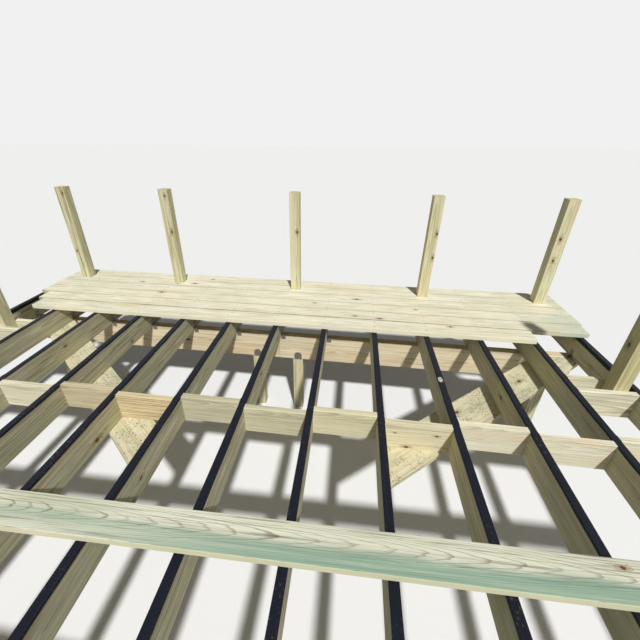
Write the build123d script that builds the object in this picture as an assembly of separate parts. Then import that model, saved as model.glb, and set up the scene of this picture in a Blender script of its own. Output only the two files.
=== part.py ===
from build123d import *
import os

# A lakeside timber jetty that is still being built: a platform of joists on two dropped beams and
# short piles, six rows of deck boards along the lake edge, seven rail posts and one loose plank.
# Millimetres. +X is to the right along the lake edge, +Y towards the lake, +Z up. The origin is on
# the level where the piles stand, below the middle of the whole outline.

# Lumber, as dressed sizes
lumber_thickness = 38.0
joist_depth = 184.0
beam_depth = 235.0
brace_width = 235.0
post_size = 89.0
edge_radius = 3.0
tape_thickness = 1.0

# The frame
joist_spacing = 406.4
bay_count = 12
joist_length = 3658.0
joist_top = 1000.0
beam_setback = 572.0

# The deck boards along the lake edge
deck_overhang = 94.0
board_width = 140.0
board_gap = 8.0
short_board_inset = 198.0
short_board_bearing = 12.0
second_board_inset = 132.0
second_board_overhang = 28.0
board_over_length = 13.2
board_insets = [34.0, 36.0, 35.0, 36.0]
notch_clearance = 3.0

# The rail posts
rail_height = 954.0
left_corner_inset = 240.0
right_corner_inset = 123.0
joists_with_posts = [3, 6, 9]
left_side_post_inset = 190.0
left_side_post_from_lake = 1096.0
right_side_post_inset = 125.0
right_side_post_from_lake = 1266.0

# Blocking, braces and piles
blocking_from_lake = 1736.0
brace_left_joist = 5
brace_right_joist = 8
brace_left_start_from_lake = 2018.0
brace_right_start_from_lake = 1877.0
brace_left_end_inset = 252.0
brace_right_end_inset = 126.0
brace_gap_at_beam = 4.0
pile_from_beam_end = 178.0
left_pile_from_splice = 208.0
right_pile_from_splice = 168.0
beam_splice_gap = 2.0

# Steel caps on the piles and ties on the beams
cap_thickness = 3.0
cap_width = 68.0
cap_flange_height = 72.0
cap_strap_length = 70.0
tie_thickness = 1.5
tie_leg = 38.0
tie_drop = 30.0
tie_rise = 65.0
tie_lap = 22.0

# The loose plank
plank_length = 4877.0
plank_width = 150.0
plank_from_lake = 2444.0
plank_turn = 1.45

# Levels and places that follow from the sizes above
joist_count = bay_count + 1
frame_width = bay_count * joist_spacing
board_length = frame_width + board_over_length
joist_bottom = joist_top - joist_depth
beam_bottom = joist_bottom - beam_depth
pile_top = beam_bottom - cap_thickness
tape_top = joist_top + tape_thickness
deck_top = tape_top + lumber_thickness
post_top = joist_top + rail_height
frame_depth = joist_length + 2 * lumber_thickness
whole_depth = frame_depth + deck_overhang
lake_face = whole_depth / 2 - deck_overhang
shore_face = -whole_depth / 2
rim_inside = lake_face - lumber_thickness
board_overhang = max(board_insets) + board_over_length
frame_middle = -board_overhang / 2
frame_left = frame_middle - frame_width / 2
frame_right = frame_middle + frame_width / 2
half_thickness = lumber_thickness / 2


def rounded_section(width, height):
    """The cross-section of a deck board or post, with rounded corners."""
    return RectangleRounded(width, height, edge_radius)


def eased_section(width, height):
    """The cross-section of framing lumber, with its corners planed off."""
    return chamfer(Rectangle(width, height).vertices(), edge_radius)


def along_x(x_start, x_end, y_start, y_end, z_start, z_end, section=eased_section):
    """A stick of lumber that runs along X."""
    middle = Pos((y_start + y_end) / 2, (z_start + z_end) / 2)
    profile = middle * section(y_end - y_start, z_end - z_start)
    return extrude(Plane.YZ.offset(x_start) * profile, x_end - x_start)


def along_y(x_start, x_end, y_start, y_end, z_start, z_end):
    """A stick of framing lumber that runs along Y."""
    middle = Pos((x_start + x_end) / 2, (z_start + z_end) / 2)
    profile = middle * eased_section(x_end - x_start, z_end - z_start)
    return extrude(Plane.XZ.offset(-y_end) * profile, y_end - y_start)


def along_z(x_start, x_end, y_start, y_end, z_start, z_end):
    """A post or pile that stands upright."""
    middle = Pos((x_start + x_end) / 2, (y_start + y_end) / 2)
    profile = middle * rounded_section(x_end - x_start, y_end - y_start)
    return extrude(Plane.XY.offset(z_start) * profile, z_end - z_start)


def block(x_start, x_end, y_start, y_end, z_start, z_end):
    """A plain block between six faces."""
    centre = Pos((x_start + x_end) / 2, (y_start + y_end) / 2, (z_start + z_end) / 2)
    return centre * Box(x_end - x_start, y_end - y_start, z_end - z_start)


def joist_middle(number):
    """Where joist number 0 to 12 lies, with the outer two flush with the frame's sides."""
    if number == 0:
        return frame_left + half_thickness
    if number == joist_count - 1:
        return frame_right - half_thickness
    return frame_middle + (number - (joist_count - 1) / 2) * joist_spacing


def make_joist(number):
    x = joist_middle(number)
    y_start = shore_face + lumber_thickness
    return along_y(x - half_thickness, x + half_thickness, y_start, rim_inside, joist_bottom, joist_top)


def make_tape(number):
    """The strip of flashing tape that keeps the wet off a joist's top edge."""
    x = joist_middle(number)
    y_start = shore_face + lumber_thickness
    return block(x - half_thickness, x + half_thickness, y_start, rim_inside, joist_top, tape_top)


def make_rim(side):
    """The joist across the ends of all the others, on the lake side or the shore side."""
    y_start = rim_inside if side == "lake" else shore_face
    return along_x(frame_left, frame_right, y_start, y_start + lumber_thickness, joist_bottom, joist_top)


def make_blocking():
    """One block in each bay, staggered by its own thickness so that it can be end-nailed."""
    blocks = []
    for bay in range(joist_count - 1):
        x_start = joist_middle(bay) + half_thickness
        x_end = joist_middle(bay + 1) - half_thickness
        y_start = lake_face - blocking_from_lake
        if bay % 2 == 1:
            y_start += lumber_thickness
        blocks.append(along_x(x_start, x_end, y_start, y_start + lumber_thickness, joist_bottom, joist_top))
    return blocks


def beam_ply_faces(side, ply):
    """The two Y faces of one ply of the doubled beam on the lake or the shore side."""
    if side == "lake":
        outer = lake_face - beam_setback
        inner = outer - 2 * lumber_thickness
    else:
        inner = shore_face + beam_setback - 2 * lumber_thickness
    y_start = inner + ply * lumber_thickness
    return y_start, y_start + lumber_thickness


def make_beam_ply(side, ply):
    """One ply of a doubled beam in two equal lengths that meet below the middle joist."""
    y_start, y_end = beam_ply_faces(side, ply)
    left_end = frame_middle - beam_splice_gap / 2
    right_start = frame_middle + beam_splice_gap / 2
    return [
        along_x(frame_left, left_end, y_start, y_end, beam_bottom, joist_bottom),
        along_x(right_start, frame_right, y_start, y_end, beam_bottom, joist_bottom),
    ]


def beam_centre(side):
    return beam_ply_faces(side, 0)[1]


def pile_centres():
    """Two piles below each length of beam, one near either end of the length."""
    return [
        frame_left + pile_from_beam_end,
        frame_middle - left_pile_from_splice,
        frame_middle + right_pile_from_splice,
        frame_right - pile_from_beam_end,
    ]


def make_pile(side, number):
    x = pile_centres()[number]
    y = beam_centre(side)
    half = post_size / 2
    return along_z(x - half, x + half, y - half, y + half, 0, pile_top)


def make_cap(side, number):
    """A bent steel saddle: a plate on the pile, two ears up the beam and two straps down the pile."""
    x = pile_centres()[number]
    y = beam_centre(side)
    half_width = cap_width / 2
    half_beam = lumber_thickness
    half_post = post_size / 2
    ear_reach = half_beam + cap_thickness
    strap_reach = half_post + cap_thickness
    cap = block(x - half_width, x + half_width, y - ear_reach, y + ear_reach, pile_top, beam_bottom)
    cap += block(x - strap_reach, x + strap_reach, y - half_width, y + half_width, pile_top, beam_bottom)
    ear_middle = cap_flange_height - half_width
    ear = Pos(0, ear_middle / 2) * Rectangle(cap_width, ear_middle)
    ear = ear + Pos(0, ear_middle) * Circle(half_width)
    ear = ear & Pos(0, cap_flange_height / 2) * Rectangle(cap_width, cap_flange_height)
    for ear_start in (y - ear_reach, y + half_beam):
        plane = Plane(origin=(x, ear_start, beam_bottom), x_dir=(1, 0, 0), z_dir=(0, -1, 0))
        cap += extrude(plane * ear, -cap_thickness)
    for strap_start in (x - strap_reach, x + half_post):
        cap += block(
            strap_start, strap_start + cap_thickness, y - half_width, y + half_width,
            pile_top - cap_strap_length, pile_top + cap_thickness,
        )
    return cap


def make_tie(side, number):
    """A bent steel tie in the corner between a joist's side and the beam's inland face."""
    y = beam_ply_faces(side, 0)[0]
    x = joist_middle(number) + half_thickness
    if number == joist_count - 1:
        x = joist_middle(number) - half_thickness - tie_thickness
    leg_start = x
    if number == joist_count - 1:
        leg_start = x + tie_thickness - tie_leg
    lower = block(
        leg_start, leg_start + tie_leg, y - tie_thickness, y,
        joist_bottom - tie_drop, joist_bottom + tie_lap,
    )
    upper = block(x, x + tie_thickness, y - tie_thickness, y + tie_leg, joist_bottom, joist_bottom + tie_rise)
    return lower + upper


def make_brace(start_joist, start_from_lake, end_inset, towards_right):
    """A flat board below the joists, from the middle of one joist out to the beam near the corner."""
    y_beam = beam_ply_faces("lake", 0)[0] - brace_gap_at_beam
    start_x = joist_middle(start_joist)
    start_y = lake_face - start_from_lake
    end_x = frame_right - end_inset if towards_right else frame_left + end_inset
    run = Vector(end_x - start_x, y_beam - start_y)
    turn = Vector(1, 0).get_signed_angle(run, Vector(0, 0, 1))
    profile = eased_section(brace_width, lumber_thickness)
    board = extrude(Plane.YZ.offset(-brace_width) * profile, run.length + 2 * brace_width)
    z = joist_bottom - half_thickness
    board = Pos(start_x, start_y, z) * Rot(0, 0, turn) * board
    if towards_right:
        room = block(start_x, frame_right, shore_face, y_beam, 0, joist_top)
    else:
        room = block(frame_left, start_x, shore_face, y_beam, 0, joist_top)
    return board & room


def rail_post_centres():
    """The five posts along the lake edge: two near the corners and three against joists."""
    beside_joists = [joist_middle(n) + half_thickness + post_size / 2 for n in joists_with_posts]
    return [frame_left + left_corner_inset] + beside_joists + [frame_right - right_corner_inset]


def make_lake_post(number):
    x = rail_post_centres()[number]
    half = post_size / 2
    return along_z(x - half, x + half, rim_inside - post_size, rim_inside, joist_bottom, post_top)


def side_post_place(side):
    """The X centre and the inland Y face of a side rail post."""
    if side == "left":
        return frame_left + left_side_post_inset, lake_face - left_side_post_from_lake
    return frame_right - right_side_post_inset, lake_face - right_side_post_from_lake


def make_side_post(side):
    x, y = side_post_place(side)
    half = post_size / 2
    return along_z(x - half, x + half, y, y + post_size, joist_bottom, post_top)


def make_side_post_blocks(side):
    """The two blocks that hold a side rail post between them in the outer bay."""
    y = side_post_place(side)[1]
    bay = 0 if side == "left" else joist_count - 2
    x_start = joist_middle(bay) + half_thickness
    x_end = joist_middle(bay + 1) - half_thickness
    return [
        along_x(x_start, x_end, y - lumber_thickness, y, joist_bottom, joist_top),
        along_x(x_start, x_end, y + post_size, y + post_size + lumber_thickness, joist_bottom, joist_top),
    ]


def make_deck_board(row):
    """Row 0, inland, stops short at both ends and row 1 at its left; the lakeward rows are
    notched round the posts."""
    pitch = board_width + board_gap
    rows = len(board_insets) + 2
    y_end = whole_depth / 2 - (rows - 1 - row) * pitch
    y_start = y_end - board_width
    if row == 0:
        x_start = frame_left + short_board_inset
        x_end = joist_middle(joist_count - 2) - half_thickness + short_board_bearing
    elif row == 1:
        x_start = frame_left + second_board_inset
        x_end = frame_right + second_board_overhang
    else:
        x_start = frame_left + board_insets[row - 2]
        x_end = x_start + board_length
    board = along_x(x_start, x_end, y_start, y_end, tape_top, deck_top, rounded_section)
    notch_start = rim_inside - post_size - notch_clearance
    notch_end = rim_inside + notch_clearance
    half = post_size / 2 + notch_clearance
    if y_end > notch_start:
        for x in rail_post_centres():
            board -= block(x - half, x + half, notch_start, notch_end, joist_bottom, post_top)
    return board


def make_loose_plank():
    half = plank_length / 2
    plank = along_x(-half, half, -plank_width / 2, plank_width / 2, tape_top, deck_top, rounded_section)
    return Pos(0, lake_face - plank_from_lake, 0) * Rot(0, 0, plank_turn) * plank


def gather_parts():
    """Every sub-part under the name of its node."""
    parts = {}
    parts["left_rim_joist"] = [make_joist(0)]
    for number in range(1, joist_count - 1):
        parts[f"joist_{number}"] = [make_joist(number)]
    parts["right_rim_joist"] = [make_joist(joist_count - 1)]
    parts["joist_tape"] = [make_tape(number) for number in range(joist_count)]
    for side in ("lake", "shore"):
        parts[f"{side}_rim_joist"] = [make_rim(side)]
    parts["blocking_row"] = make_blocking()
    for side in ("lake", "shore"):
        parts[f"{side}_beam_inland_ply"] = make_beam_ply(side, 0)
        parts[f"{side}_beam_lakeward_ply"] = make_beam_ply(side, 1)
        parts[f"{side}_left_pile"] = [make_pile(side, 0)]
        parts[f"{side}_middle_piles"] = [make_pile(side, 1), make_pile(side, 2)]
        parts[f"{side}_right_pile"] = [make_pile(side, 3)]
        parts[f"{side}_pile_caps"] = [make_cap(side, number) for number in range(4)]
        parts[f"{side}_beam_ties"] = [make_tie(side, n) for n in range(joist_count)]
    left_brace = make_brace(brace_left_joist, brace_left_start_from_lake, brace_left_end_inset, False)
    right_brace = make_brace(brace_right_joist, brace_right_start_from_lake, brace_right_end_inset, True)
    parts["left_brace"] = [left_brace]
    parts["right_brace"] = [right_brace]
    for row in range(len(board_insets) + 2):
        parts[f"deck_board_{row + 1}"] = [make_deck_board(row)]
    for number in range(len(rail_post_centres())):
        parts[f"lake_rail_post_{number + 1}"] = [make_lake_post(number)]
    for side in ("left", "right"):
        parts[f"{side}_side_rail_post"] = [make_side_post(side)]
        parts[f"{side}_side_post_blocks"] = make_side_post_blocks(side)
    parts["loose_plank"] = [make_loose_plank()]
    return parts


os.makedirs("parts", exist_ok=True)
for name, solids in gather_parts().items():
    shape = solids[0] if len(solids) == 1 else Compound(children=solids)
    export_step(shape, f"parts/{name}.step")
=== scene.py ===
import math
import random
from functools import reduce

import bpy
from mathutils import Matrix, Vector


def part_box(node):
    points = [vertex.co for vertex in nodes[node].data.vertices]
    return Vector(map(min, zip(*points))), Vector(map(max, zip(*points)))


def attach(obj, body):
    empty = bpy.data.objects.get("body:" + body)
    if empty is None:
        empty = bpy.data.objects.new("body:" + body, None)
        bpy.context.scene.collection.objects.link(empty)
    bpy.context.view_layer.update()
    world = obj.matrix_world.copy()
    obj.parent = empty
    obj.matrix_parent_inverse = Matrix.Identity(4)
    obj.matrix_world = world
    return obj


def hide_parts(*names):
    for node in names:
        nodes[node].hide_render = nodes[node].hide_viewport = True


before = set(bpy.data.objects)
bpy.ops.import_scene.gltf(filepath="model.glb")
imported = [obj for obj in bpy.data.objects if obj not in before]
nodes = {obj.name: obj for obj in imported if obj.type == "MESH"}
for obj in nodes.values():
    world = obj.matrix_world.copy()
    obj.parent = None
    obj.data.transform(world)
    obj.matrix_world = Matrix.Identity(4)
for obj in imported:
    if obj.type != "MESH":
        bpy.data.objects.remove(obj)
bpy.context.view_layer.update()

# Framing lumber: thirteen joists between two rims, fresh pressure-treated pine, dressed to 38 by 184 mm.
# The wood shows its growth rings, with arches on the wide faces, tight lines on the edges and arcs on
# the sawn ends, and has a green cast from the treatment, grey streaks and a few knots.


class Grain:
    """A number, place or colour that varies over a surface: one socket of a material's nodes."""

    def __init__(self, socket):
        self.socket = socket

    def add(self, kind, settings=None, inputs=None, output=0):
        """Adds a node of this kind, with its settings set before its sockets, and gives an output."""
        new = self.socket.node.id_data.nodes.new(kind)
        for name, value in (settings or {}).items():
            setattr(new, name, value)
        for name, value in (inputs or {}).items():
            feed(new.inputs[name], value)
        return Grain(new.outputs[output])

    def work_out(self, operation, first, second=0.0):
        return self.add("ShaderNodeMath", {"operation": operation}, {0: first, 1: second})

    def __add__(self, other):
        return self.work_out("ADD", self, other)

    def __radd__(self, other):
        return self.work_out("ADD", other, self)

    def __sub__(self, other):
        return self.work_out("SUBTRACT", self, other)

    def __rsub__(self, other):
        return self.work_out("SUBTRACT", other, self)

    def __mul__(self, other):
        return self.work_out("MULTIPLY", self, other)

    def __rmul__(self, other):
        return self.work_out("MULTIPLY", other, self)

    def __truediv__(self, other):
        return self.work_out("DIVIDE", self, other)

    def __rtruediv__(self, other):
        return self.work_out("DIVIDE", other, self)

    def size(self):
        return self.work_out("ABSOLUTE", self)

    def root(self):
        return self.work_out("SQRT", self)

    def fraction(self):
        return self.work_out("FRACT", self)

    def floor(self):
        return self.work_out("FLOOR", self)

    def at_most(self, other):
        return self.work_out("MINIMUM", self, other)

    def at_least(self, other):
        return self.work_out("MAXIMUM", self, other)

    def rise(self, low, high):
        """0 below low, 1 above high and smooth between them. It falls where low is above high."""
        limits = {"Value": self, "From Min": low, "From Max": high}
        return self.add("ShaderNodeMapRange", {"interpolation_type": "SMOOTHSTEP"}, limits)

    def along(self, direction):
        """How far a place lies in a direction."""
        settings = {"operation": "DOT_PRODUCT"}
        return self.add("ShaderNodeVectorMath", settings, {0: self, 1: tuple(direction)}, "Value")

    def place(self, second, third):
        """A place from three numbers."""
        return self.add("ShaderNodeCombineXYZ", {}, {"X": self, "Y": second, "Z": third})

    def cloud(self, scale, detail=2.0, roughness=0.5):
        """Soft noise about 0.5 at a place."""
        inputs = {"Vector": self, "Scale": scale, "Detail": detail, "Roughness": roughness}
        return self.add("ShaderNodeTexNoise", {}, inputs)

    def cells(self, scale, output):
        """Cells round scattered points: the Distance to the nearest point, or a Color for each cell."""
        return self.add("ShaderNodeTexVoronoi", {}, {"Vector": self, "Scale": scale}, output)

    def chance(self):
        """A number from 0 to 1 for each whole number."""
        return self.add("ShaderNodeTexWhiteNoise", {"noise_dimensions": "1D"}, {"W": self}, "Value")

    def tint(self, without, full, blend="MIX"):
        """The colour without where this mask is 0, and the colour full where it is 1.

        Sockets 0, 6 and 7 are the mask and the two colours, and output 2 is the colour that comes out.
        """
        settings = {"data_type": "RGBA", "blend_type": blend}
        return self.add("ShaderNodeMix", settings, {0: self, 6: without, 7: full}, 2)


def feed(target, value):
    """Links a socket to what varies over the surface, or sets it to a value that doesn't."""
    if isinstance(value, Grain):
        target.node.id_data.links.new(value.socket, target)
    else:
        target.default_value = value


def connect(shader, **sockets):
    """Feeds the shader's sockets, with the spaces in their names written as underscores."""
    for name, value in sockets.items():
        feed(shader.inputs[name.replace("_", " ")], value)


def finish(name):
    """A new material: itself, its shader and the place on the surface."""
    material = bpy.data.materials.new(name)
    material.use_nodes = True
    shader = material.node_tree.nodes["Principled BSDF"]
    return material, shader, Grain(shader.outputs[0]).add("ShaderNodeTexCoord", output="Object")


def cover(node, material):
    """Gives a node this material alone."""
    nodes[node].data.materials.clear()
    nodes[node].data.materials.append(material)


def paint(red, green, blue):
    """A colour as a screen shows it, from 0 to 255, in the linear values that a shader takes."""
    def linear(value):
        value = value / 255
        return value / 12.92 if value <= 0.04045 else ((value + 0.055) / 1.055) ** 2.4

    return (linear(red), linear(green), linear(blue), 1.0)


def stick(node):
    """A stick of lumber: its middle, the directions of its length, width and thickness, and its half sizes.

    The two directions that the most surface faces are across the stick, and its length is square to them.
    """
    mesh = nodes[node].data
    corners = [vertex.co for vertex in mesh.vertices]
    facing = {}
    for face in mesh.polygons:
        key = tuple(round(part, 1) for part in face.normal)
        facing[key] = facing.get(key, Vector()) + face.normal * face.area
    broad = max(facing.values(), key=lambda total: total.length).normalized()
    across = [total for total in facing.values() if abs(total.normalized().dot(broad)) < 0.1]
    narrow = max(across, key=lambda total: total.length).normalized()
    length = broad.cross(narrow)

    def reach(direction):
        """How long the stick is in a direction, and how far its middle lies that way."""
        spread = [corner.dot(direction) for corner in corners]
        return max(spread) - min(spread), (max(spread) + min(spread)) / 2

    width, thickness = (broad, narrow) if reach(broad)[0] > reach(narrow)[0] else (narrow, broad)
    ways = [way if sum(way) > 0 else -way for way in (length, width, thickness)]
    middle = sum((way * reach(way)[1] for way in ways), Vector())
    return middle, ways, [reach(way)[0] / 2 for way in ways]


green_cast = paint(172, 182, 146)
warm_cast = paint(226, 192, 140)
grey_cast = paint(150, 146, 128)
streak_brown = paint(134, 118, 84)
dark_late_wood = paint(98, 82, 52)
hair_brown = paint(92, 80, 54)
fibre_brown = paint(96, 88, 66)
halo_brown = paint(148, 124, 76)
knot_brown = paint(78, 60, 38)
bark_black = paint(40, 32, 22)
soil = paint(88, 74, 48)
sawn_pale = paint(204, 190, 146)
sawn_late = paint(134, 108, 64)
smallest_knot, largest_knot = 0.007, 0.012
bump_depth = 0.0007


def random_knots(draw, middle, ways, half):
    """One to three knots on the face that looks along the stick's thickness."""
    length, width, thickness = ways
    knots = []
    for _ in range(draw.randint(1, 3)):
        lengthwise = draw.uniform(-0.9, 0.9) * half[0]
        sideways = draw.uniform(-0.7, 0.7) * half[1]
        spot = middle + length * lengthwise + width * sideways + thickness * half[2]
        knots.append((*spot, draw.uniform(smallest_knot, largest_knot)))
    return knots


def lumber(name, node, pale, late, pith=None, ring=0.0065, contrast=0.6, green=0.3, grey=0.3, lines=0.3,
           hairs=0.4, warm=0.15, taper=0.02, sway=0.02, knots=None, dirt=0.0, copies=None, extra=None,
           edge=None, late_from=0.3):
    """A wood material for a node, worked out as the growth rings of a log that the stick is cut from.

    pith is where the log's heart lies, across and through the stick, and ring is the width of a ring. knots
    are (x, y, z, radius) where they show, and run inwards from the nearest face. copies is the direction, the
    start and the spacing of like sticks in one node, so that each has its own grain. extra changes the colour
    before the knots, edge is the colour of the narrow faces, and late_from is the share of a ring that stays
    pale. The others are strengths of what their names say.
    """
    draw = random.Random(name)
    middle, ways, half = stick(node)
    length, width, thickness = ways
    material, shader, place = finish(name)
    along = place.along(length) - middle.dot(length)
    across = place.along(width) - middle.dot(width)
    through = place.along(thickness) - middle.dot(thickness)
    if pith is None:
        pith = (draw.uniform(-0.04, 0.04), draw.choice((-1, 1)) * draw.uniform(0.03, 0.08))
    heart_across, heart_through = pith
    shift = draw.uniform(0, 40)
    drift = along + shift
    if copies:
        direction, start, spacing = copies
        number = ((place.along(direction) - start) / spacing).floor() + draw.randint(1, 90)
        tone = number.chance()
        turn = (number + 0.5).chance()
        heart_across = heart_across + (tone - 0.5) * 0.08
        heart_through = heart_through + (turn - 0.5) * 0.05
        drift = drift + turn * 9.0

    def drawn_out(along_rate, across_rate, detail, roughness=0.5, apart=0.0, aside=0.0):
        """Noise drawn out along the grain, from its rates per metre along the stick and across it."""
        spot = (drift * along_rate + apart).place(across * across_rate, through * across_rate + aside)
        return spot.cloud(1.0, detail, roughness)

    # The radius is the distance from the heart, which wanders along the log and is pushed out by the knots.
    out_across = across - heart_across + (drift.place(shift, 0.0).cloud(0.7) - 0.5) * sway
    out_through = through - heart_through + (drift.place(0.0, shift).cloud(0.8) - 0.5) * sway
    radius = (out_across * out_across + out_through * out_through).root()
    radius = radius + along * (taper * draw.choice((-1, 1)))
    radius = radius + (drawn_out(2.0, 26.0, 3.0) - 0.5) * 0.006
    radius = radius + (drawn_out(11.0, 150.0, 2.0) - 0.5) * 0.0012

    if knots is None:
        knots = random_knots(draw, middle, ways, half)
    ragged = place.cloud(60.0) - 0.5
    cores = []
    halos = []
    for x, y, z, knot_size in knots:
        spot = Vector((x, y, z)) - middle
        runs_across = abs(spot.dot(width)) / half[1] > abs(spot.dot(thickness)) / half[2]
        gap_along = (along - spot.dot(length)) * 0.7
        gap_across = (across - spot.dot(width)) * (0.25 if runs_across else 1.0)
        gap_through = (through - spot.dot(thickness)) * (1.0 if runs_across else 0.25)

        def gap(share):
            """How far a place is from the knot, with this share of its squared distance along the grain."""
            squares = gap_along * gap_along * share + gap_across * gap_across + gap_through * gap_through
            return squares.root() + ragged * (knot_size * 0.7)

        radius = radius + gap(1.0).rise(knot_size * 4.5, 0.0) * (knot_size * 1.3)
        cores.append(gap(1.0).rise(knot_size * 1.05, knot_size * 0.65))
        halos.append(gap(0.3).rise(knot_size * 2.4, knot_size * 0.9))

    # Each ring is pale early wood that darkens to a band of late wood with a sharp outer edge.
    rings = radius / ring + (radius * 40.0).place(shift, 0.0).cloud(1.0) * 2.5
    phase = rings.fraction()
    weight = rings.floor().chance() * 0.8 + 0.45
    band = phase.rise(late_from, 0.92) * phase.rise(1.0, 0.94) * weight
    fibre = drawn_out(5.0, 330.0, 2.0, 0.6)
    broad = drawn_out(0.7, 12.0, 3.0, 0.55)
    streaks = drawn_out(0.7, 60.0, 4.0, 0.65, 7.0)
    hair = drawn_out(1.8, 150.0, 3.0, 0.7, 3.0)
    patch = drawn_out(1.3, 6.0, 3.0, 0.6, 17.0, 3.0)
    mottle = drawn_out(2.1, 26.0, 4.0, 0.65, 31.0)
    normal = place.add("ShaderNodeNewGeometry", output="Normal")

    colour = (broad.rise(0.3, 0.72) * 0.35).tint(pale, late)
    colour = (patch.rise(0.42, 0.7) * green).tint(colour, green_cast)
    colour = (patch.rise(0.5, 0.3) * warm).tint(colour, warm_cast)
    colour = (mottle.rise(0.48, 0.75) * grey).tint(colour, grey_cast)
    if copies:
        colour = (tone * 0.18).tint(colour, late)
    colour = (streaks.rise(0.5, 0.66) * lines).tint(colour, streak_brown)
    colour = (band * contrast).tint(colour, (0.35 + streaks * 0.4).tint(late, dark_late_wood))
    colour = (hair.rise(0.53, 0.63) * (0.4 + mottle) * hairs).tint(colour, hair_brown)
    if extra:
        colour = extra(colour, place, across, band)
    if edge:
        narrow_face = 1.0 - normal.along(thickness).size().rise(0.4, 0.8)
        colour = (narrow_face * 0.75).tint(colour, (band * 0.3).tint(edge, late))
    colour = (fibre.rise(0.3, 0.8) * 0.14).tint(colour, fibre_brown)
    if knots:
        core = reduce(Grain.at_least, cores)
        halo = reduce(Grain.at_least, halos)
        bark = core * (1.0 - core) * 4.0
        colour = (halo * (mottle * 0.8 + 0.1)).tint(colour, halo_brown)
        colour = (core * 0.9).tint(colour, knot_brown)
        colour = (bark * 0.85).tint(colour, bark_black)
    if dirt:
        crumbs = (place.cells(70.0, "Distance") + (place.cloud(120.0, 4.0, 0.8) - 0.5) * 1.3).rise(0.40, 0.18)
        dust = place.cloud(210.0, 4.0, 0.8).rise(0.50, 0.62) * 0.55
        specks = crumbs.at_least(dust) * place.cloud(9.0, 4.0, 0.7).rise(0.42, 0.60)
        colour = (specks * dirt).tint(colour, soil)
    sawn_end = normal.along(length).size().rise(0.6, 0.9)
    colour = (sawn_end * 0.5).tint(colour, (band * 0.6 + 0.2).tint(sawn_pale, sawn_late))

    height = band * -0.35 + fibre * 0.8 + broad * 0.3
    bump = place.add("ShaderNodeBump", {}, {"Strength": 0.55, "Distance": bump_depth, "Height": height})
    connect(shader, Base_Color=colour, Roughness=fibre * 0.2 + 0.62, Normal=bump, Specular_IOR_Level=0.3)
    cover(node, material)


joist_pale = paint(227, 223, 194)
joist_late = paint(186, 176, 134)
joist_names = ["left_rim_joist"] + [f"joist_{number}" for number in range(1, 12)] + ["right_rim_joist"]
joist_hearts = [None, (0.03, 0.055), (-0.02, 0.06), (0.02, 0.05), (-0.035, -0.05), (0.0, 0.045), (0.02, 0.06),
                (0.03, -0.06), (-0.02, -0.05), (0.03, -0.05), (-0.01, -0.05), (0.02, -0.045), None]
joist_knots = {
    "joist_2": [(-1.631, 0.624, 0.921, 0.009)],
    "joist_5": [(-0.412, -0.352, 0.894, 0.009)],
    "joist_10": [(1.582, 0.495, 0.906, 0.010)],
}
first_plain_joist = 8
for number, (name, heart) in enumerate(zip(joist_names, joist_hearts)):
    contrast, lines, hairs = (0.62, 0.45, 0.6) if number < first_plain_joist else (0.42, 0.3, 0.35)
    lumber(f"wood_of_{name}", name, joist_pale, joist_late, pith=heart, contrast=contrast, green=0.55,
           grey=0.5, lines=lines, hairs=hairs, warm=0.1, knots=joist_knots.get(name))
for side in ("lake", "shore"):
    lumber(f"wood_of_{side}_rim", f"{side}_rim_joist", joist_pale, joist_late, ring=0.0075)

# Blocking: a row of short lengths of the same lumber between the joists, staggered by their thickness so
# that each is nailed through the joist at its ends, and the blocks beside the side rail posts. Sawn from
# several boards, so each has its own grain; some are darker and greyer, partly own tone, partly painted
# shade.
right = Vector((1, 0, 0))
lakeward = Vector((0, 1, 0))
upward = Vector((0, 0, 1))


def middle_x(node):
    """How far right the middle of a node lies."""
    low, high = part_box(node)
    return (low[0] + high[0]) / 2


# The two rims lie with their outer faces where an even spacing would have their middles, so the bay's width
# is taken from the joists between them.
joist_x = [middle_x(name) for name in joist_names]
bay_count = len(joist_x) - 1
bay_width = (joist_x[-2] - joist_x[1]) / (bay_count - 2)
frame_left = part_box("left_rim_joist")[0][0]
joist_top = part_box("joist_6")[1][2]
block_pale = paint(255, 251, 226)
block_late = paint(236, 223, 184)
block_stripe = paint(138, 96, 62)
block_blush = paint(244, 208, 164)
# Darker, greyer tones for some bays: partly the blocks' own tone and partly painted shade.
block_tones_and_shade = {3: paint(226, 218, 204), 4: paint(250, 238, 219), 5: paint(220, 219, 210),
               6: paint(226, 226, 216), 7: paint(238, 236, 224), 8: paint(250, 247, 240)}
red_block = 4


def block_tone_and_shade(colour, place, across, band):
    """One block is reddish with thin dark lines; some are darker and greyer, partly own tone, partly painted
    shade.
    """
    along = place.along(right)

    def inside(bay):
        """1 in a bay and 0 outside it, with the change over 2 mm."""
        start = frame_left + bay * bay_width
        end = start + bay_width
        return along.rise(start, start + 0.002) * along.rise(end, end - 0.002)

    for bay, tone in block_tones_and_shade.items():
        colour = inside(bay).tint(colour, tone, "MULTIPLY")
    stripes = (along * 1.1).place(across * 190.0, 0.0).cloud(1.0, 3.0, 0.65).rise(0.50, 0.60)
    on_face = 1.0 - place.along(upward).rise(joist_top - 0.004, joist_top - 0.001)
    colour = (stripes * inside(red_block) * on_face * 0.85).tint(colour, block_stripe)
    blush = (along * 2.5).place(across * 14.0, 5.0).cloud(1.0, 3.0).rise(0.5, 0.7) * along.rise(0.9, 1.5)
    return (blush * 0.4).tint(colour, block_blush)


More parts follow.
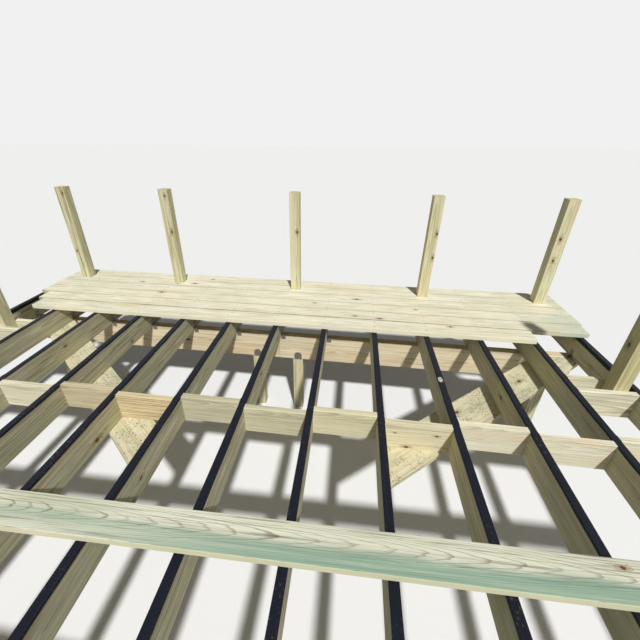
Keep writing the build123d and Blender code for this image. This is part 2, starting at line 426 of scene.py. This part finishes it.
lumber("wood_of_blocking", "blocking_row", block_pale, block_late, pith=(0.085, 0.05), ring=0.0052,
       contrast=0.42, lines=0.15, green=0.12, grey=0.1, warm=0.1, taper=0.03, dirt=0.06,
       copies=(right, frame_left, bay_width), extra=block_tone_and_shade,
       knots=[(0.944, 0.084, 0.826, 0.009), (1.098, 0.084, 0.935, 0.006), (0.870, 0.084, 0.930, 0.004)])
for side in ("left", "right"):
    low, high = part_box(f"{side}_side_post_blocks")
    lumber(f"wood_of_{side}_post_blocks", f"{side}_side_post_blocks", block_pale, block_late, ring=0.008,
           copies=(lakeward, low[1] - 0.02, (high[1] - low[1]) / 2 + 0.02), knots=[])

# Beams: two doubled lengths of 38 by 235 mm lumber below the joists, each ply in two lengths that meet
# over the middle, with a warmer, redder face than the joists.
beam_pale = paint(252, 240, 208)
beam_late = paint(224, 192, 146)


def left_and_right(node):
    """The copies of a node that is made of a left and a right half."""
    low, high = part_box(node)
    return right, low[0], (high[0] - low[0]) / 2 + 0.001


for side in ("lake", "shore"):
    for ply in ("inland", "lakeward"):
        node = f"{side}_beam_{ply}_ply"
        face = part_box(node)[0][1]
        lumber(f"wood_of_{node}", node, beam_pale, beam_late, ring=0.006, contrast=0.4, green=0.1, grey=0.25,
               warm=0.45, copies=left_and_right(node), knots=[(-0.9, face, 0.70, 0.012)])

# Braces: two boards of the same treated pine, 38 by 235 mm, nailed below the joists, out to the corners.
# They lie flat under the work, so sawdust and soil have fallen on them.
brace_pale = paint(236, 230, 196)
for side in ("left", "right"):
    lumber(f"wood_of_{side}_brace", f"{side}_brace", brace_pale, joist_late, ring=0.005, contrast=0.2,
           green=0.35, lines=0.15, hairs=0.25, sway=0.01, dirt=0.85)

# Piles: short posts of pressure-treated pine, 89 mm square, two below each length of beam. Each stands
# on its sawn foot and carries the beam in a steel saddle.
post_pale = paint(244, 240, 200)
post_late = paint(204, 195, 144)
for side in ("lake", "shore"):
    for pile in (f"{side}_left_pile", f"{side}_right_pile"):
        lumber(f"wood_of_{pile}", pile, post_pale, post_late, pith=(0.02, 0.01), knots=[])
    pair = f"{side}_middle_piles"
    lumber(f"wood_of_{pair}", pair, post_pale, post_late, pith=(0.0, 0.02), copies=left_and_right(pair),
           knots=[])

# Rail posts: five along the lake edge and one on each side, of treated pine 89 mm square, sawn level at
# the top and left bare for the rail. Each has its heart inside, so its sawn end shows whole rings.
shaded_post_pale = paint(222, 220, 172)
streaked_posts = ("lake_rail_post_1", "lake_rail_post_2")
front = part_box("lake_rail_post_1")[0][1]
rail_posts = {
    "lake_rail_post_1": ((0.018, 0.012), [(-2.195, front, 1.900, 0.008), (-2.240, front, 1.330, 0.008)]),
    "lake_rail_post_2": ((-0.02, 0.016), [(-1.163, front, 1.900, 0.008), (-1.156, front, 1.567, 0.009)]),
    "lake_rail_post_3": ((0.012, -0.02), [(0.064, front, 1.611, 0.009)]),
    "lake_rail_post_4": ((-0.014, -0.02), [(1.286, front, 1.643, 0.009), (1.287, front, 1.426, 0.009)]),
    "lake_rail_post_5": ((0.02, -0.01), [(2.279, front, 1.636, 0.010), (2.281, front, 1.448, 0.009)]),
    "left_side_rail_post": ((0.01, 0.02), [(-2.184, 0.724, 1.400, 0.009)]),
    "right_side_rail_post": ((-0.02, 0.01), [(2.244, 0.606, 1.305, 0.0105), (2.289, 0.554, 1.620, 0.009)]),
}
for node, (heart, knots) in rail_posts.items():
    pale = shaded_post_pale if node == "right_side_rail_post" else post_pale
    streaked = 1.0 if node in streaked_posts else 0.55
    lumber(f"wood_of_{node}", node, pale, post_late, pith=heart, ring=0.007, contrast=0.4,
           green=0.35 * streaked, grey=0.35 * streaked, lines=0.45 * streaked, hairs=0.5 * streaked, warm=0.4,
           knots=knots)

# Deck boards: six rows of 38 by 140 mm pine boards across the joists at the lake edge, laid bark side up
# and screwed down. They are the palest wood on the jetty, cream with greenish and grey bands.
deck_pale = paint(255, 252, 228)
deck_late = paint(240, 230, 192)
deck_edge = paint(255, 249, 220)
deck_green = paint(188, 200, 176)
deck_stain = paint(218, 200, 158)
deck_grey = paint(206, 212, 188)
# Painted shade in the joints between deck boards, darker on the first two rows and lighter on the rest.
inland_joint_shade = paint(112, 98, 68)
lakeward_joint_shade = paint(186, 176, 140)
deck_hearts = [(0.0, -0.05), (0.02, -0.045), (-0.01, -0.06), (0.015, -0.05), (-0.02, -0.045), (0.0, -0.055)]
row_count = len(deck_hearts)
rows_with_dark_joint_shade = 2


def laid_in_row(row):
    """What a board shows from its place: painted shade in the joints with its neighbours, and green at the
    ends.
    """
    low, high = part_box(f"deck_board_{row}")
    half_width = (high[1] - low[1]) / 2
    first_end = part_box("deck_board_1")[1][0]
    joint_shade = inland_joint_shade if row <= rows_with_dark_joint_shade else lakeward_joint_shade

    def colouring(colour, place, across, band):
        along = place.along(right)
        joints = []
        if row > 1:
            joints.append((0.0 - across).rise(half_width - 0.004, half_width - 0.0015))
        if row == 2:
            # The first row stops short at the right, and beyond its end the second row's edge has no painted
            # shade.
            joints[0] = joints[0] * along.rise(first_end + 0.02, first_end)
        if row < row_count:
            joints.append(across.rise(half_width - 0.004, half_width - 0.0015))
        uneven = (along * 3.0).place(row * 5.0, 0.0).cloud(1.0, 4.0, 0.6).rise(0.35, 0.6) * 0.4 + 0.35
        wash = place.cloud(2.2, 3.0, 0.6).rise(0.35, 0.6) * along.size().rise(1.8, 2.45)
        colour = (wash * 0.65).tint(colour, deck_green)
        stain = (along * 2.6).place(across * 9.0, row * 3.0).cloud(1.0, 4.0, 0.65)
        colour = (stain.rise(0.50, 0.70) * 0.5).tint(colour, deck_stain)
        colour = (stain.rise(0.46, 0.30) * 0.5).tint(colour, deck_grey)
        return (reduce(Grain.at_least, joints) * uneven).tint(colour, joint_shade)

    return colouring


for row, heart in enumerate(deck_hearts, 1):
    lumber(f"wood_of_deck_board_{row}", f"deck_board_{row}", deck_pale, deck_late, pith=heart, ring=0.007,
           contrast=0.28, green=0.2, grey=0.28, lines=0.15, hairs=0.28, warm=0.25, extra=laid_in_row(row),
           edge=deck_edge if row == 1 else None)

# Loose plank: a full-length pine board that lies across the joists, still wet with treatment, with
# blue-green streaks along its face and a clean pale edge.
plank_pale = paint(240, 239, 217)
plank_late = paint(196, 198, 168)
plank_edge = paint(252, 244, 204)
thin_wet = paint(150, 182, 158)
deep_wet = paint(68, 108, 98)


def wet_streaks(colour, place, across, band):
    """Treatment that has not dried: blue-green on the near half at the right, a faint band at the left."""
    along = place.along(right)
    flow = (along * 0.9).place(across * 60.0, 0.0).cloud(1.0, 4.0, 0.62)
    bend = (along * 2.2).place(across * 9.0, 3.0).cloud(1.0, 4.0, 0.6) - 0.5
    to_right = along.rise(-1.3, 0.4)
    line = across + bend * 0.05
    far_side = line.rise(0.03 - to_right * 0.018, 0.0 - to_right * 0.03)
    near_side = line.rise(-0.05, -0.015).at_least(to_right)
    body = far_side * near_side * (0.35 + to_right * 0.65)
    wet = body * (flow.rise(0.25, 0.6) * 0.4 + 0.6) + flow.rise(0.6, 0.75) * 0.1
    front = line.rise(-0.045, -0.012) * to_right
    depth = (band * 0.4 + flow * (front * 0.5 + 0.25)).at_most(1.0)
    return (wet * 0.9).at_most(1.0).tint(colour, depth.tint(thin_wet, deep_wet))


lumber("wood_of_loose_plank", "loose_plank", plank_pale, plank_late, pith=(0.01, -0.06), ring=0.0037,
       contrast=0.8, green=0.4, grey=0.2, lines=0.1, hairs=0.65, taper=0.030, sway=0.016, warm=0.0,
       extra=wet_streaks, edge=plank_edge, late_from=0.70, knots=[(1.607, -0.541, 1.039, 0.007)])

# Joist tape: black butyl flashing tape along the top of every joist, pressed on by hand and folded over
# the edges, so that screws seal in it and the wood stays dry. Where a block meets the joist, it lies flat.
tape_black = paint(15, 18, 30)
tape_sheen_painted = paint(50, 54, 68)
tape_worn = paint(128, 126, 122)
tape_dust = paint(150, 140, 118)
torn_dark = paint(120, 118, 110)
torn_pale = paint(226, 222, 210)
tear_x, tear_y = 1.191, 0.508
tape, tape_shader, place = finish("flashing_tape")
from_left = place.along(right)
from_middle = ((from_left - frame_left) / bay_width + 0.5).fraction() - 0.5
edge = (from_middle * bay_width).size().rise(0.010, 0.018)
worn = place.cloud(150.0, 4.0, 0.75).rise(0.56, 0.70) * (edge * 0.75 + 0.25) * place.cloud(9.0).rise(0.4, 0.7)
dust = place.cloud(60.0, 4.0, 0.72).rise(0.58, 0.72) * place.cloud(2.6, 3.0).rise(0.46, 0.66)
drag_and_sheen = (place.along(lakeward) * 2.0).place(from_left * 90.0, 0.0).cloud(1.0, 4.0, 0.7).rise(0.52, 0.78)
tear_right = from_left - tear_x
tear_lakeward = (place.along(lakeward) - tear_y) * 0.55
tear = (tear_right * tear_right + tear_lakeward * tear_lakeward).root()
tear = tear + (place.cloud(95.0, 3.0) - 0.5) * 0.022
torn = place.cloud(130.0).rise(0.4, 0.6).tint(torn_dark, torn_pale)
# The lighter blue-grey streaks along the tape are painted sheen; the same streaks are a little rougher.
tape_colour = (drag_and_sheen * 0.4).tint(tape_black, tape_sheen_painted)
tape_colour = (worn * 0.7).tint(tape_colour, tape_worn)
tape_colour = (dust * 0.6).tint(tape_colour, tape_dust)
tape_colour = tear.rise(0.0165, 0.0125).tint(tape_colour, torn)
crinkle = (place.along(lakeward) * 14.0).place(from_left * 120.0, place.along(upward) * 120.0)
tape_height = crinkle.cloud(1.0, 3.0, 0.6) + place.cloud(190.0) * 0.5
tape_bump = place.add("ShaderNodeBump", {}, {"Strength": 0.6, "Distance": 0.0012, "Height": tape_height})
connect(tape_shader, Base_Color=tape_colour, Roughness=drag_and_sheen * 0.2 + 0.5, Normal=tape_bump,
        Specular_IOR_Level=0.16)

half_joist = joist_x[0] - frame_left
lumber_thickness = 2 * half_joist
blocks_by_bay = []
row_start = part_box("blocking_row")[0][1]
for bay in range(bay_count):
    start = row_start + lumber_thickness * (bay % 2)
    blocks_by_bay.append([(start, start + lumber_thickness)])
for side, bay in (("left", 0), ("right", bay_count - 1)):
    low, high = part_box(f"{side}_side_post_blocks")
    blocks_by_bay[bay] += [(low[1], low[1] + lumber_thickness), (high[1] - lumber_thickness, high[1])]

tape_sheet = 0.0007
inner_fold = 0.012
rim_fold = 0.028
short_fold = 0.002
short_folded_joists = (1, 2)
fold_reach = 0.010
tape_steps = 90
points_on_side = 4
flat_section = ((0.0207, 0.0009), (0.0204, 0.0010), (0.0200, 0.0010), (0.0190, 0.0010), (0.0173, 0.0010),
                (0.0155, 0.0010))


def beside(bay):
    """Where the blocks in a bay start and end, and none outside the frame."""
    return blocks_by_bay[bay] if 0 <= bay < bay_count else []


def flatness(y, bay):
    """1 where a block in this bay holds the tape's edge up, 0 clear of it."""
    gaps = [max(start - y, y - end, 0.0) for start, end in beside(bay)]
    return max([1.0 - min(gap / fold_reach, 1.0) for gap in gaps], default=0.0)


def half_section(fold, level, ripple):
    """Half of the tape's section from its edge to its middle: folded down by fold, or flat at level 1."""
    edge_x = 0.0202 + 0.0006 * max(0.0, ripple)
    folded = ((edge_x, -fold - 0.0020 * ripple), (0.0201, -fold * 0.55), (0.0199, -0.0026),
              (0.0192, -0.0005), (0.0173, 0.0008), (0.0155, 0.0010))
    outer = []
    inner = []
    for (bent_x, bent_z), (flat_x, flat_z) in zip(folded, flat_section):
        outer.append((bent_x + (flat_x - bent_x) * level, bent_z + (flat_z - bent_z) * level))
    for number, (x, z) in enumerate(outer):
        side = (1.0 - level) if number < points_on_side else 0.0
        inner.append((x - tape_sheet * side, z - tape_sheet * (1.0 - side)))
    return outer, inner


def whole_section(number, x, y, waves):
    """The points round the tape on a joist at y: over its outer face from left to right, and back inside."""
    outer = []
    inner = []
    for sign, bay in ((-1, number - 1), (1, number)):
        ripple = sum(size * math.sin(rate * y + turn + sign) for rate, turn, size in waves) / 2.5
        fold = inner_fold
        if number in (0, bay_count):
            outside = bay not in range(bay_count)
            ripple = 0.0 if outside else ripple
            fold = inner_fold if outside else rim_fold
        if number in short_folded_joists and sign > 0:
            fold = short_fold
        for points, half in zip((outer, inner), half_section(fold, flatness(y, bay), ripple)):
            points += [(x + sign * out, y, joist_top + up) for out, up in half[::-sign]]
    return outer + inner[::-1]


def skin(first, rings, sides):
    """Faces that join rings of points, each with this many sides, and close both ends."""
    faces = []
    for ring in range(rings - 1):
        near = first + ring * sides
        far = near + sides
        for step in range(sides):
            after = (step + 1) % sides
            faces.append((near + step, near + after, far + after, far + step))
    last = first + (rings - 1) * sides
    return faces + [tuple(range(first + sides - 1, first - 1, -1)), tuple(range(last, last + sides))]


def build(name, points, faces, material, slot="galvanised_steel", angle=30):
    """A piece of the jetty from points and faces, shaded smooth up to an angle."""
    mesh = bpy.data.meshes.new(name)
    mesh.from_pydata([tuple(point) for point in points], [], faces)
    mesh.materials.append(material)
    mesh.shade_smooth()
    mesh.set_sharp_from_angle(angle=math.radians(angle))
    piece = bpy.data.objects.new(name, mesh)
    bpy.context.scene.collection.objects.link(piece)
    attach(piece, "root")
    return piece


tape_points = []
tape_faces = []
for number, node in enumerate(joist_names):
    low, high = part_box(node)
    draw = random.Random(number + 5)
    waves = [(draw.uniform(4, 30), draw.uniform(0, 6.3), draw.uniform(0.2, 1.0)) for _ in range(5)]
    stations = {low[1] + (high[1] - low[1]) * step / tape_steps for step in range(tape_steps + 1)}
    for start, end in beside(number - 1) + beside(number):
        stations |= {start - fold_reach, start, end, end + fold_reach}
    stations = sorted(y for y in stations if low[1] <= y <= high[1])
    sections = [whole_section(number, joist_x[number], y, waves) for y in stations]
    tape_faces += skin(len(tape_points), len(sections), len(sections[0]))
    tape_points += sum(sections, [])
draped = build("draped_joist_tape", tape_points, tape_faces, tape, "joist_tape", 60)
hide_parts("joist_tape")

# Steel: saddles that tie the beams to the piles and bent ties between beam and joists, all hot-dip
# galvanised, with a faint spangle and a dull white bloom.
steel_dark = paint(104, 102, 98)
steel_light = paint(146, 143, 136)
steel_bloom = paint(166, 162, 150)
steel, steel_shader, place = finish("galvanised")
spangle = place.cells(160.0, "Color").along((0.33, 0.33, 0.34))
bloom = place.cloud(24.0, 4.0, 0.6).rise(0.45, 0.75)
steel_colour = (bloom * 0.5).tint((spangle * 0.6).tint(steel_dark, steel_light), steel_bloom)
connect(steel_shader, Base_Color=steel_colour, Metallic=0.55, Roughness=bloom * 0.25 + 0.42)
for node in ("lake_pile_caps", "shore_pile_caps", "lake_beam_ties", "shore_beam_ties"):
    cover(node, steel)

# Screws: two of steel with a brown coating through each deck board into each joist, with sunk heads that
# have a recess for the driver.


def turned(profile, sides):
    """Points and faces of a shape turned about Z from pairs of radius and height, lowest first."""
    points = []
    for radius, height in profile:
        for step in range(sides):
            angle = 2 * math.pi * step / sides
            points.append(Vector((radius * math.cos(angle), radius * math.sin(angle), height)))
    return points, skin(0, len(profile), sides)


def set_in(places, shape):
    """One shape set at many places, each given as a point and the direction that the shape's top faces."""
    all_points = []
    all_faces = []
    for point, facing in places:
        turn = facing.to_track_quat("Z", "Y").to_matrix().to_4x4()
        move = Matrix.Translation(Vector(point)) @ turn
        first = len(all_points)
        all_points += [move @ corner for corner in shape[0]]
        all_faces += [tuple(corner + first for corner in face) for face in shape[1]]
    return all_points, all_faces


screw_head = turned([(0.0040, -0.0012), (0.0042, 0.0001), (0.0036, 0.0004), (0.0019, 0.0004),
                     (0.0016, -0.0007)], 12)
screw_from_edge = 0.032
screws = []
for row in range(1, row_count + 1):
    low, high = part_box(f"deck_board_{row}")
    draw = random.Random(row)
    for x in joist_x:
        if low[0] + 0.01 < x < high[0] - 0.01:
            for y in (low[1] + screw_from_edge, high[1] - screw_from_edge):
                spot = (x + draw.uniform(-0.006, 0.006), y + draw.uniform(-0.004, 0.004), high[2])
                screws.append((spot, upward))
screw_steel, screw_shader, place = finish("coated_screw")
screw_colour = place.cloud(400.0).tint(paint(72, 66, 54), paint(104, 96, 78))
connect(screw_shader, Base_Color=screw_colour, Metallic=0.5, Roughness=0.5)
build("deck_screws", *set_in(screws, screw_head), screw_steel)

# Nails: driven through the rims and joists into the ends of joists and blocks, and through the holes of
# the bent ties and of the saddles on the piles. They are galvanised, with low domed heads.
nail_head = turned([(0.0046, -0.0005), (0.0048, 0.0004), (0.0043, 0.0011), (0.0020, 0.0014)], 12)
rim_nail_heights = (0.03, 0.092, 0.154)
block_nail_heights = (0.04, 0.144)
tie_nails_on_joist = ((0.012, 0.050), (0.024, 0.066), (0.012, 0.084))
tie_nails_on_beam = ((0.012, 0.012), (0.027, 0.028))
tie_sheet = 0.0015
nails = []
lake_low, lake_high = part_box("lake_rim_joist")
shore_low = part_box("shore_rim_joist")[0]
joist_bottom = lake_low[2]
draw = random.Random(11)
for x in joist_x:
    for height in rim_nail_heights:
        wander = draw.uniform(-0.006, 0.006)
        nails.append(((x + wander, lake_high[1], joist_bottom + height), lakeward))
        nails.append(((x - wander, shore_low[1], joist_bottom + height), -lakeward))
for bay in range(bay_count):
    start, end = blocks_by_bay[bay][0]
    for height in block_nail_heights:
        y = (start + end) / 2 + draw.uniform(-0.005, 0.005)
        if bay > 0:
            nails.append(((joist_x[bay] - half_joist, y, joist_bottom + height), -right))
        if bay < bay_count - 1:
            nails.append(((joist_x[bay + 1] + half_joist, y, joist_bottom + height), right))
for side in ("lake", "shore"):
    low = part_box(f"{side}_beam_ties")[0]
    for number, x in enumerate(joist_x):
        sign = -1 if number == bay_count else 1
        face = x + sign * (half_joist + tie_sheet)
        for inwards, up in tie_nails_on_joist:
            nails.append(((face, low[1] + inwards, low[2] + up), right * sign))
        for out, up in tie_nails_on_beam:
            nails.append(((x + sign * (half_joist + out), low[1], low[2] + up), -lakeward))
build("nails", *set_in(nails, nail_head), steel)

half_pile = middle_x("lake_left_pile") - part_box("lake_left_pile")[0][0]
saddle_sheet = 0.003
ear_nail_height = 0.040
strap_nails = ((-0.018, 0.03), (0.018, 0.03), (-0.018, 0.056), (0.018, 0.056))
saddle_nails = []
for side in ("lake", "shore"):
    low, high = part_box(f"{side}_pile_caps")
    beam_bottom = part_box(f"{side}_beam_inland_ply")[0][2]
    middle_y = (low[1] + high[1]) / 2
    pair_low, pair_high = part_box(f"{side}_middle_piles")
    pile_x = [middle_x(f"{side}_left_pile"), middle_x(f"{side}_right_pile"), pair_low[0] + half_pile,
              pair_high[0] - half_pile]
    for x in pile_x:
        for sign in (-1, 1):
            ear = middle_y + sign * (lumber_thickness + saddle_sheet)
            saddle_nails.append(((x, ear, beam_bottom + ear_nail_height), lakeward * sign))
            for step, drop in strap_nails:
                strap = x + sign * (half_pile + saddle_sheet)
                saddle_nails.append(((strap, middle_y + step, beam_bottom - drop), right * sign))
build("saddle_nails", *set_in(saddle_nails, nail_head), steel)

# Bolts: two through each lake-side rail post and the rim joist, with domed heads on the lake side, and
# a washer, a nut and the thread's tip on the post. They are galvanised steel, 12 mm thick.
dome = turned([(0.0140, 0.0), (0.0138, 0.0014), (0.0118, 0.0036), (0.0078, 0.0054), (0.0030, 0.0061)], 24)
washer = turned([(0.0170, 0.0), (0.0172, 0.0020), (0.0165, 0.0026)], 24)
nut = turned([(0.0108, 0.0026), (0.0112, 0.0036), (0.0112, 0.0130), (0.0104, 0.0138)], 6)
tip = turned([(0.0062, 0.0138), (0.0062, 0.0205), (0.0048, 0.0222)], 16)
bolt_heights = (0.05, 0.134)
heads = []
backs = []
for post in (name for name in rail_posts if name.startswith("lake")):
    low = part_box(post)[0]
    for height in bolt_heights:
        heads.append(((middle_x(post), lake_high[1], low[2] + height), lakeward))
        backs.append(((middle_x(post), low[1], low[2] + height), -lakeward))
build("post_bolt_heads", *set_in(heads, dome), steel)
for name, shape in (("post_bolt_washers", washer), ("post_bolt_nuts", nut), ("post_bolt_tips", tip)):
    build(name, *set_in(backs, shape), steel)

# Floor, light and camera: a plain pale floor on the level where the piles stand, one soft sun and a
# white studio round it. The camera stands over the joists and looks down and out over the lake edge.
floor_reach = 60
floor_lit = (0.38, 0.38, 0.37, 1.0)
floor_white = (0.86, 0.86, 0.85, 1.0)
studio_light = 0.14
studio_white = 0.88


def in_view(socket):
    """1 for rays that see a surface, straight or in gloss or glass, and 0 for the light that it throws."""
    rays = ("Is Camera Ray", "Is Glossy Ray", "Is Transmission Ray")
    return reduce(Grain.at_least, [Grain(socket).add("ShaderNodeLightPath", output=ray) for ray in rays])


floor_material, floor_shader, place = finish("pale_floor")
floor_colour = in_view(place.socket).tint(floor_lit, floor_white)
connect(floor_shader, Base_Color=floor_colour, Roughness=0.9, Specular_IOR_Level=0.1)
floor_mesh = bpy.data.meshes.new("floor")
corners = [(x * floor_reach, y * floor_reach, 0) for x, y in ((-1, -1), (1, -1), (1, 1), (-1, 1))]
floor_mesh.from_pydata(corners, [], [(0, 1, 2, 3)])
floor_mesh.materials.append(floor_material)
floor = bpy.data.objects.new("floor", floor_mesh)
bpy.context.scene.collection.objects.link(floor)

sun_strength = 3.45
sun_width = math.radians(3)
sun_falls = Vector((-0.28, 0.74, -1.0))
sun = bpy.data.lights.new("key", "SUN")
sun.energy = sun_strength
sun.angle = sun_width
sun_object = bpy.data.objects.new("key", sun)
sun_object.rotation_euler = sun_falls.to_track_quat("-Z", "Y").to_euler()
bpy.context.scene.collection.objects.link(sun_object)

world = bpy.data.worlds.new("studio")
world.use_nodes = True
bpy.context.scene.world = world
background = world.node_tree.nodes["Background"]
brightness = in_view(background.outputs[0]) * (studio_white - studio_light) + studio_light
connect(background, Strength=brightness, Color=(1.0, 1.0, 1.0, 1.0))

frame_pixels = 640
focal_pixels = 339.8
middle_right, middle_up = 14.3, -9.8
film_width = 36.0
camera_place = Vector((0.5537, -1.3394, 2.4395))
yaw, pitch, roll = -0.1348, 0.4889, -0.0022
ahead = Vector((math.sin(yaw) * math.cos(pitch), math.cos(yaw) * math.cos(pitch), -math.sin(pitch)))
level = Vector((math.cos(yaw), -math.sin(yaw), 0.0))
down = ahead.cross(level)
camera_right = level * math.cos(roll) + down * math.sin(roll)
camera_down = down * math.cos(roll) - level * math.sin(roll)
lens = bpy.data.cameras.new("camera")
lens.sensor_width = film_width
lens.lens = focal_pixels / frame_pixels * film_width
lens.shift_x = middle_right / frame_pixels
lens.shift_y = middle_up / frame_pixels
lens.clip_end = 200.0
camera = bpy.data.objects.new("camera", lens)
turn = Matrix((camera_right, -camera_down, -ahead)).transposed().to_4x4()
camera.matrix_world = Matrix.Translation(camera_place) @ turn
bpy.context.scene.collection.objects.link(camera)
bpy.context.scene.camera = camera
bpy.context.scene.view_settings.view_transform = "Standard"
